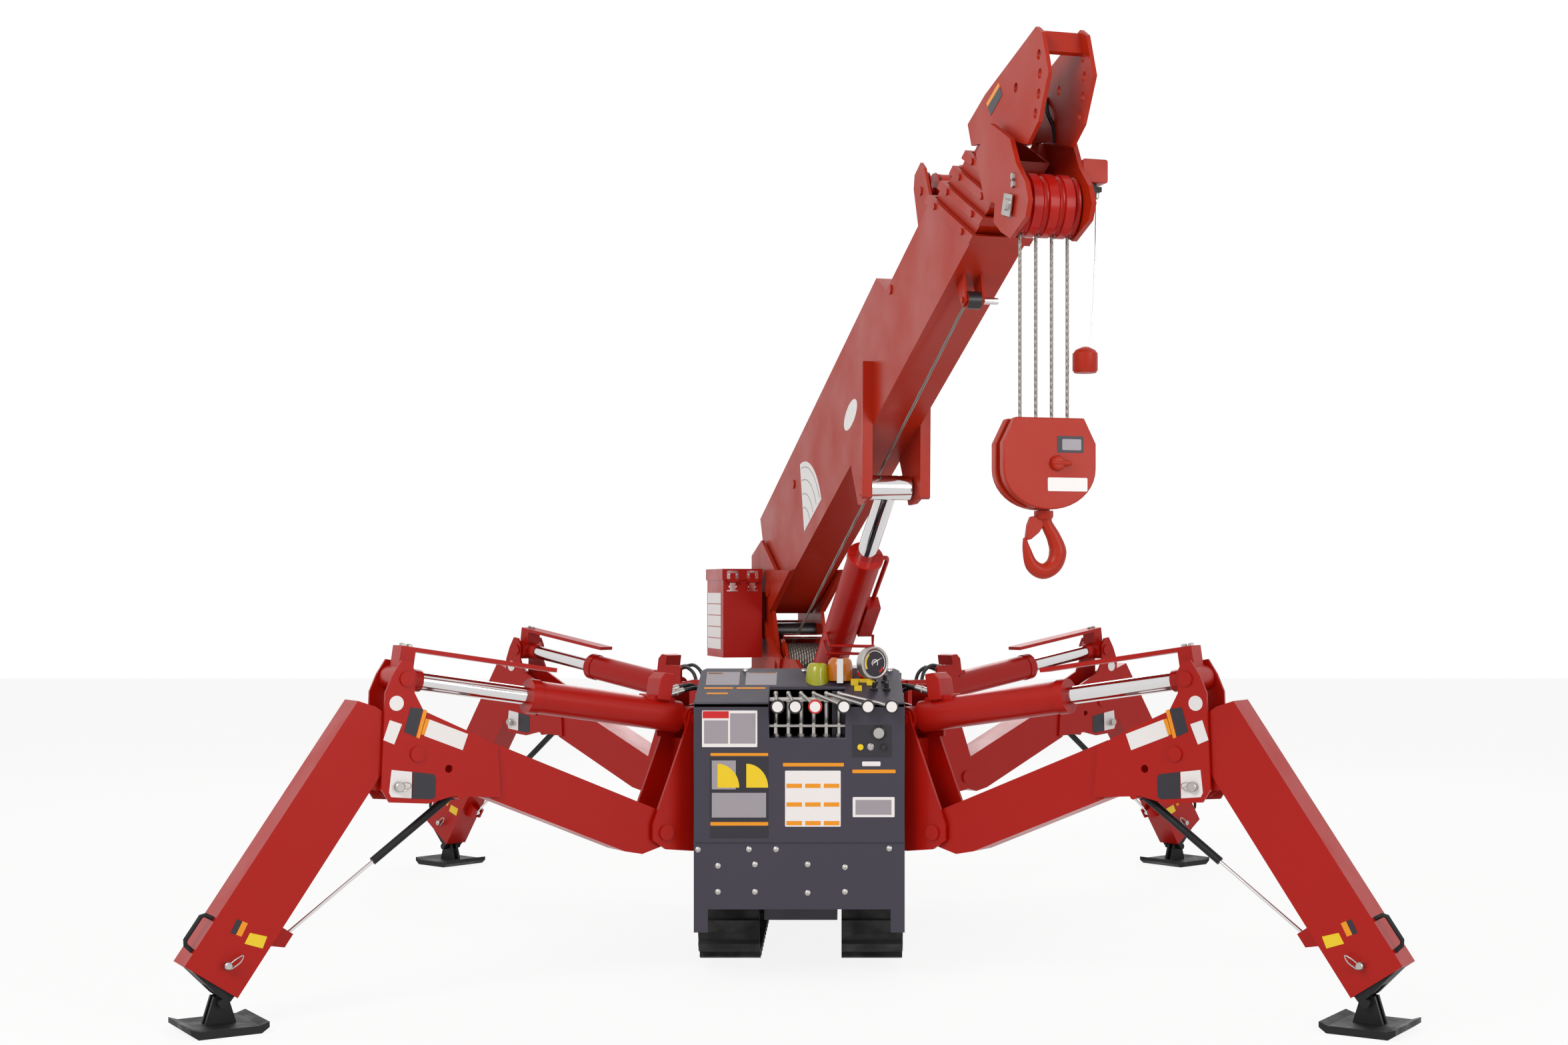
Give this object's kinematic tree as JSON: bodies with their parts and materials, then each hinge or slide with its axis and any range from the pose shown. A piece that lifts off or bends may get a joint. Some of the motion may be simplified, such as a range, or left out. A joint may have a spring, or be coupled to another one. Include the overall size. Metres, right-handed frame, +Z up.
{
  "type": "spider crane",
  "caption": "Compact tracked crane on folding outrigger legs, with a slewing column, telescoping boom, hook block and a front control console.",
  "frame": {"origin": "slewing axis at the ground, at the centre of the four feet", "axes": "+X to the right seen from the console, -Y towards the console and the operator, +Z up"},
  "size_m": [3.2634, 4.0572, 2.4315],
  "materials": {
    "red_paint": "gloss",
    "dark_paint": "gloss",
    "black_steel": "satin",
    "track_rubber": "matte",
    "steel": "satin",
    "chrome": "polished",
    "wire_rope": "oiled",
    "lamp_amber": "gloss"
  },
  "bodies": {
    "root": {"chassis_frame": "dark_paint", "running_gear": "black_steel", "tracks": "track_rubber", "console_body": "dark_paint", "lower_cover": "dark_paint", "console_controls": "steel", "beacons": "lamp_amber", "engine_hood": "dark_paint"},
    "column": {"column": "red_paint", "tool_box": "red_paint"},
    "drum": {"winch_drum": "wire_rope"},
    "lid": {"tool_box_lid": "red_paint"},
    "boom": {"base_section": "red_paint"},
    "section_2": {"section_two": "red_paint"},
    "section_3": {"section_three": "red_paint"},
    "section_4": {"section_four": "red_paint"},
    "head": {"boom_head": "red_paint"},
    "sheaves": {"head_sheaves": "steel"},
    "lift_barrel": {"lift_barrel": "red_paint"},
    "lift_rod": {"lift_rod": "chrome"},
    "ropes": {"hoist_ropes": "wire_rope"},
    "block": {"hook_block": "red_paint"},
    "hook": {"hook": "red_paint"},
    "fl_swing_bracket": {"fl_swing_bracket": "red_paint"},
    "fl_inner_arm": {"fl_inner_arm": "red_paint"},
    "fl_jack_barrel": {"fl_jack_barrel": "red_paint"},
    "fl_jack_rod": {"fl_jack_rod": "chrome"},
    "fl_outer_leg": {"fl_outer_leg": "red_paint"},
    "fl_inner_leg": {"fl_inner_leg": "black_steel"},
    "fl_foot_pad": {"fl_foot_pad": "black_steel"},
    "fl_strut_tube": {"fl_strut_tube": "black_steel"},
    "fl_strut_rod": {"fl_strut_rod": "chrome"},
    "fr_swing_bracket": {"fr_swing_bracket": "red_paint"},
    "fr_inner_arm": {"fr_inner_arm": "red_paint"},
    "fr_jack_barrel": {"fr_jack_barrel": "red_paint"},
    "fr_jack_rod": {"fr_jack_rod": "chrome"},
    "fr_outer_leg": {"fr_outer_leg": "red_paint"},
    "fr_inner_leg": {"fr_inner_leg": "black_steel"},
    "fr_foot_pad": {"fr_foot_pad": "black_steel"},
    "fr_strut_tube": {"fr_strut_tube": "black_steel"},
    "fr_strut_rod": {"fr_strut_rod": "chrome"},
    "rl_swing_bracket": {"rl_swing_bracket": "red_paint"},
    "rl_inner_arm": {"rl_inner_arm": "red_paint"},
    "rl_jack_barrel": {"rl_jack_barrel": "red_paint"},
    "rl_jack_rod": {"rl_jack_rod": "chrome"},
    "rl_outer_leg": {"rl_outer_leg": "red_paint"},
    "rl_inner_leg": {"rl_inner_leg": "black_steel"},
    "rl_foot_pad": {"rl_foot_pad": "black_steel"},
    "rl_strut_tube": {"rl_strut_tube": "black_steel"},
    "rl_strut_rod": {"rl_strut_rod": "chrome"},
    "rr_swing_bracket": {"rr_swing_bracket": "red_paint"},
    "rr_inner_arm": {"rr_inner_arm": "red_paint"},
    "rr_jack_barrel": {"rr_jack_barrel": "red_paint"},
    "rr_jack_rod": {"rr_jack_rod": "chrome"},
    "rr_outer_leg": {"rr_outer_leg": "red_paint"},
    "rr_inner_leg": {"rr_inner_leg": "black_steel"},
    "rr_foot_pad": {"rr_foot_pad": "black_steel"},
    "rr_strut_tube": {"rr_strut_tube": "black_steel"},
    "rr_strut_rod": {"rr_strut_rod": "chrome"}
  },
  "joints": [
    {"name": "slew", "type": "hinge", "parent": "root", "child": "column", "pos_m": [0, 0, 0.64], "axis": [0, 0, 1], "continuous": true},
    {"name": "winch", "type": "hinge", "parent": "column", "child": "drum", "pos_m": [-0.01674, 0.05762, 0.88], "axis": [0.9603, 0.279, 0], "continuous": true},
    {"name": "tool_box_lid", "type": "hinge", "parent": "column", "child": "lid", "pos_m": [-0.21185, 0.0858, 1.1555], "axis": [0.9603, 0.279, 0], "range_deg": [0, 100]},
    {"name": "boom_lift", "type": "hinge", "parent": "column", "child": "boom", "pos_m": [-0.03515, 0.121, 1.13], "axis": [-0.9603, -0.279, 0], "range_deg": [-25.2, 51.8]},
    {"name": "telescope_2", "type": "slide", "parent": "boom", "child": "section_2", "axis": [0.2524, -0.8689, 0.4258], "range_m": [0, 1.5275]},
    {"name": "telescope_3", "type": "slide", "parent": "section_2", "child": "section_3", "axis": [0.2524, -0.8689, 0.4258], "range_m": [0, 1.5275]},
    {"name": "telescope_4", "type": "slide", "parent": "section_3", "child": "section_4", "axis": [0.2524, -0.8689, 0.4258], "range_m": [0, 1.5275]},
    {"name": "telescope_5", "type": "slide", "parent": "section_4", "child": "head", "axis": [0.2524, -0.8689, 0.4258], "range_m": [0, 1.5275]},
    {"name": "sheave_turn", "type": "hinge", "parent": "head", "child": "sheaves", "pos_m": [0.59951, -2.06352, 2.03579], "axis": [0.9603, 0.279, 0], "continuous": true},
    {"name": "hang", "type": "hinge", "parent": "head", "child": "ropes", "pos_m": [0.59951, -2.06352, 2.03579], "axis": [-0.9603, -0.279, 0], "range_deg": [-52.3, 25.7]},
    {"name": "hoist", "type": "slide", "parent": "ropes", "child": "block", "axis": [0, 0, -1], "range_m": [-0.09, 1.1], "deforming": ["hoist_ropes"]},
    {"name": "hook_swivel", "type": "hinge", "parent": "block", "child": "hook", "pos_m": [0.59951, -2.06352, 1.316], "axis": [0, 0, 1], "continuous": true},
    {"name": "lift_barrel_turn", "type": "hinge", "parent": "column", "child": "lift_barrel", "pos_m": [0.04185, -0.14404, 0.768], "axis": [-0.9603, -0.279, 0], "range_deg": [-23.18, 47.12]},
    {"name": "lift_rod_slide", "type": "slide", "parent": "lift_barrel", "child": "lift_rod", "axis": [0.2124, -0.7312, 0.6483], "range_m": [-0.1845, 0.3772]},
    {"name": "fl_swing", "type": "hinge", "parent": "root", "child": "fl_swing_bracket", "pos_m": [-0.139, -0.791, 0.376], "axis": [0, 0, -1], "range_deg": [0, 25]},
    {"name": "fl_lift", "type": "hinge", "parent": "fl_swing_bracket", "child": "fl_inner_arm", "pos_m": [-0.41864, -0.97364, 0.434], "axis": [-0.5468, 0.8372, 0], "range_deg": [-5, 60]},
    {"name": "fl_jack_turn", "type": "hinge", "parent": "fl_swing_bracket", "child": "fl_jack_barrel", "pos_m": [-0.33157, -0.91677, 0.755], "axis": [-0.5468, 0.8372, 0], "range_deg": [-6.17, 68.6]},
    {"name": "fl_jack_slide", "type": "slide", "parent": "fl_jack_barrel", "child": "fl_jack_rod", "axis": [-0.8276, -0.5405, 0.1516], "range_m": [-0.3162, 0.0282]},
    {"name": "fl_fold", "type": "hinge", "parent": "fl_inner_arm", "child": "fl_outer_leg", "pos_m": [-1.04406, -1.38213, 0.689], "axis": [0.5468, -0.8372, 0], "range_deg": [0, 90]},
    {"name": "fl_extend", "type": "slide", "parent": "fl_outer_leg", "child": "fl_inner_leg", "axis": [-0.4764, -0.3112, -0.8223], "range_m": [0, 0.3]},
    {"name": "fl_pad_tilt", "type": "hinge", "parent": "fl_inner_leg", "child": "fl_foot_pad", "pos_m": [-1.47263, -1.66204, 0.074], "axis": [0.5468, -0.8372, 0], "range_deg": [-12, 12]},
    {"name": "fl_strut_turn", "type": "hinge", "parent": "fl_inner_arm", "child": "fl_strut_tube", "pos_m": [-0.94024, -1.31432, 0.57], "axis": [0.5468, -0.8372, 0], "range_deg": [-0.5, 110.45]},
    {"name": "fl_strut_slide", "type": "slide", "parent": "fl_strut_tube", "child": "fl_strut_rod", "axis": [-0.6733, -0.4397, -0.5944], "range_m": [-0.176, 0.002]},
    {"name": "fr_swing", "type": "hinge", "parent": "root", "child": "fr_swing_bracket", "pos_m": [0.139, -0.791, 0.376], "axis": [0, 0, 1], "range_deg": [0, 25]},
    {"name": "fr_lift", "type": "hinge", "parent": "fr_swing_bracket", "child": "fr_inner_arm", "pos_m": [0.41864, -0.97364, 0.434], "axis": [-0.5468, -0.8372, 0], "range_deg": [-5, 60]},
    {"name": "fr_jack_turn", "type": "hinge", "parent": "fr_swing_bracket", "child": "fr_jack_barrel", "pos_m": [0.33157, -0.91677, 0.755], "axis": [-0.5468, -0.8372, 0], "range_deg": [-6.17, 68.6]},
    {"name": "fr_jack_slide", "type": "slide", "parent": "fr_jack_barrel", "child": "fr_jack_rod", "axis": [0.8276, -0.5405, 0.1516], "range_m": [-0.3162, 0.0282]},
    {"name": "fr_fold", "type": "hinge", "parent": "fr_inner_arm", "child": "fr_outer_leg", "pos_m": [1.04406, -1.38213, 0.689], "axis": [0.5468, 0.8372, 0], "range_deg": [0, 90]},
    {"name": "fr_extend", "type": "slide", "parent": "fr_outer_leg", "child": "fr_inner_leg", "axis": [0.4764, -0.3112, -0.8223], "range_m": [0, 0.3]},
    {"name": "fr_pad_tilt", "type": "hinge", "parent": "fr_inner_leg", "child": "fr_foot_pad", "pos_m": [1.47263, -1.66204, 0.074], "axis": [0.5468, 0.8372, 0], "range_deg": [-12, 12]},
    {"name": "fr_strut_turn", "type": "hinge", "parent": "fr_inner_arm", "child": "fr_strut_tube", "pos_m": [0.94024, -1.31432, 0.57], "axis": [0.5468, 0.8372, 0], "range_deg": [-0.5, 110.45]},
    {"name": "fr_strut_slide", "type": "slide", "parent": "fr_strut_tube", "child": "fr_strut_rod", "axis": [0.6733, -0.4397, -0.5944], "range_m": [-0.176, 0.002]},
    {"name": "rl_swing", "type": "hinge", "parent": "root", "child": "rl_swing_bracket", "pos_m": [-0.284, 0.622, 0.376], "axis": [0, 0, 1], "range_deg": [-12, 25]},
    {"name": "rl_lift", "type": "hinge", "parent": "rl_swing_bracket", "child": "rl_inner_arm", "pos_m": [-0.53703, 0.84002, 0.434], "axis": [0.6528, 0.7576, 0], "range_deg": [-5, 60]},
    {"name": "rl_jack_turn", "type": "hinge", "parent": "rl_swing_bracket", "child": "rl_jack_barrel", "pos_m": [-0.45824, 0.77214, 0.755], "axis": [0.6528, 0.7576, 0], "range_deg": [-6.17, 68.6]},
    {"name": "rl_jack_slide", "type": "slide", "parent": "rl_jack_barrel", "child": "rl_jack_rod", "axis": [-0.7488, 0.6452, 0.1516], "range_m": [-0.3162, 0.0282]},
    {"name": "rl_fold", "type": "hinge", "parent": "rl_inner_arm", "child": "rl_outer_leg", "pos_m": [-1.10293, 1.32763, 0.689], "axis": [-0.6528, -0.7576, 0], "range_deg": [0, 90]},
    {"name": "rl_extend", "type": "slide", "parent": "rl_outer_leg", "child": "rl_inner_leg", "axis": [-0.4311, 0.3714, -0.8223], "range_m": [0, 0.3]},
    {"name": "rl_pad_tilt", "type": "hinge", "parent": "rl_inner_leg", "child": "rl_foot_pad", "pos_m": [-1.49071, 1.66177, 0.074], "axis": [-0.6528, -0.7576, 0], "range_deg": [-12, 12]},
    {"name": "rl_strut_turn", "type": "hinge", "parent": "rl_inner_arm", "child": "rl_strut_tube", "pos_m": [-1.00899, 1.24669, 0.57], "axis": [-0.6528, -0.7576, 0], "range_deg": [-0.5, 110.45]},
    {"name": "rl_strut_slide", "type": "slide", "parent": "rl_strut_tube", "child": "rl_strut_rod", "axis": [-0.6092, 0.5249, -0.5944], "range_m": [-0.176, 0.002]},
    {"name": "rr_swing", "type": "hinge", "parent": "root", "child": "rr_swing_bracket", "pos_m": [0.284, 0.622, 0.376], "axis": [0, 0, -1], "range_deg": [-12, 25]},
    {"name": "rr_lift", "type": "hinge", "parent": "rr_swing_bracket", "child": "rr_inner_arm", "pos_m": [0.53703, 0.84002, 0.434], "axis": [0.6528, -0.7576, 0], "range_deg": [-5, 60]},
    {"name": "rr_jack_turn", "type": "hinge", "parent": "rr_swing_bracket", "child": "rr_jack_barrel", "pos_m": [0.45824, 0.77214, 0.755], "axis": [0.6528, -0.7576, 0], "range_deg": [-6.17, 68.6]},
    {"name": "rr_jack_slide", "type": "slide", "parent": "rr_jack_barrel", "child": "rr_jack_rod", "axis": [0.7488, 0.6452, 0.1516], "range_m": [-0.3162, 0.0282]},
    {"name": "rr_fold", "type": "hinge", "parent": "rr_inner_arm", "child": "rr_outer_leg", "pos_m": [1.10293, 1.32763, 0.689], "axis": [-0.6528, 0.7576, 0], "range_deg": [0, 90]},
    {"name": "rr_extend", "type": "slide", "parent": "rr_outer_leg", "child": "rr_inner_leg", "axis": [0.4311, 0.3714, -0.8223], "range_m": [0, 0.3]},
    {"name": "rr_pad_tilt", "type": "hinge", "parent": "rr_inner_leg", "child": "rr_foot_pad", "pos_m": [1.49071, 1.66177, 0.074], "axis": [-0.6528, 0.7576, 0], "range_deg": [-12, 12]},
    {"name": "rr_strut_turn", "type": "hinge", "parent": "rr_inner_arm", "child": "rr_strut_tube", "pos_m": [1.00899, 1.24669, 0.57], "axis": [-0.6528, 0.7576, 0], "range_deg": [-0.5, 110.45]},
    {"name": "rr_strut_slide", "type": "slide", "parent": "rr_strut_tube", "child": "rr_strut_rod", "axis": [0.6092, 0.5249, -0.5944], "range_m": [-0.176, 0.002]}
  ],
  "couplings": [
    {"joint": "telescope_3", "follows": "telescope_2", "ratio": 1},
    {"joint": "telescope_4", "follows": "telescope_2", "ratio": 1},
    {"joint": "telescope_5", "follows": "telescope_2", "ratio": 1},
    {"joint": "hang", "follows": "boom_lift", "ratio": -1},
    {"joint": "lift_barrel_turn", "follows": "boom_lift", "ratio": 0.9},
    {"joint": "lift_rod_slide", "follows": "boom_lift", "m_per_rad": 0.415},
    {"joint": "fl_jack_turn", "follows": "fl_lift", "ratio": 1.135},
    {"joint": "fl_jack_slide", "follows": "fl_lift", "m_per_rad": -0.3},
    {"joint": "fl_strut_turn", "follows": "fl_fold", "ratio": 1.2217},
    {"joint": "fl_strut_slide", "follows": "fl_fold", "m_per_rad": -0.1108},
    {"joint": "fr_jack_turn", "follows": "fr_lift", "ratio": 1.135},
    {"joint": "fr_jack_slide", "follows": "fr_lift", "m_per_rad": -0.3},
    {"joint": "fr_strut_turn", "follows": "fr_fold", "ratio": 1.2217},
    {"joint": "fr_strut_slide", "follows": "fr_fold", "m_per_rad": -0.1108},
    {"joint": "rl_jack_turn", "follows": "rl_lift", "ratio": 1.135},
    {"joint": "rl_jack_slide", "follows": "rl_lift", "m_per_rad": -0.3},
    {"joint": "rl_strut_turn", "follows": "rl_fold", "ratio": 1.2217},
    {"joint": "rl_strut_slide", "follows": "rl_fold", "m_per_rad": -0.1108},
    {"joint": "rr_jack_turn", "follows": "rr_lift", "ratio": 1.135},
    {"joint": "rr_jack_slide", "follows": "rr_lift", "m_per_rad": -0.3},
    {"joint": "rr_strut_turn", "follows": "rr_fold", "ratio": 1.2217},
    {"joint": "rr_strut_slide", "follows": "rr_fold", "m_per_rad": -0.1108}
  ]
}
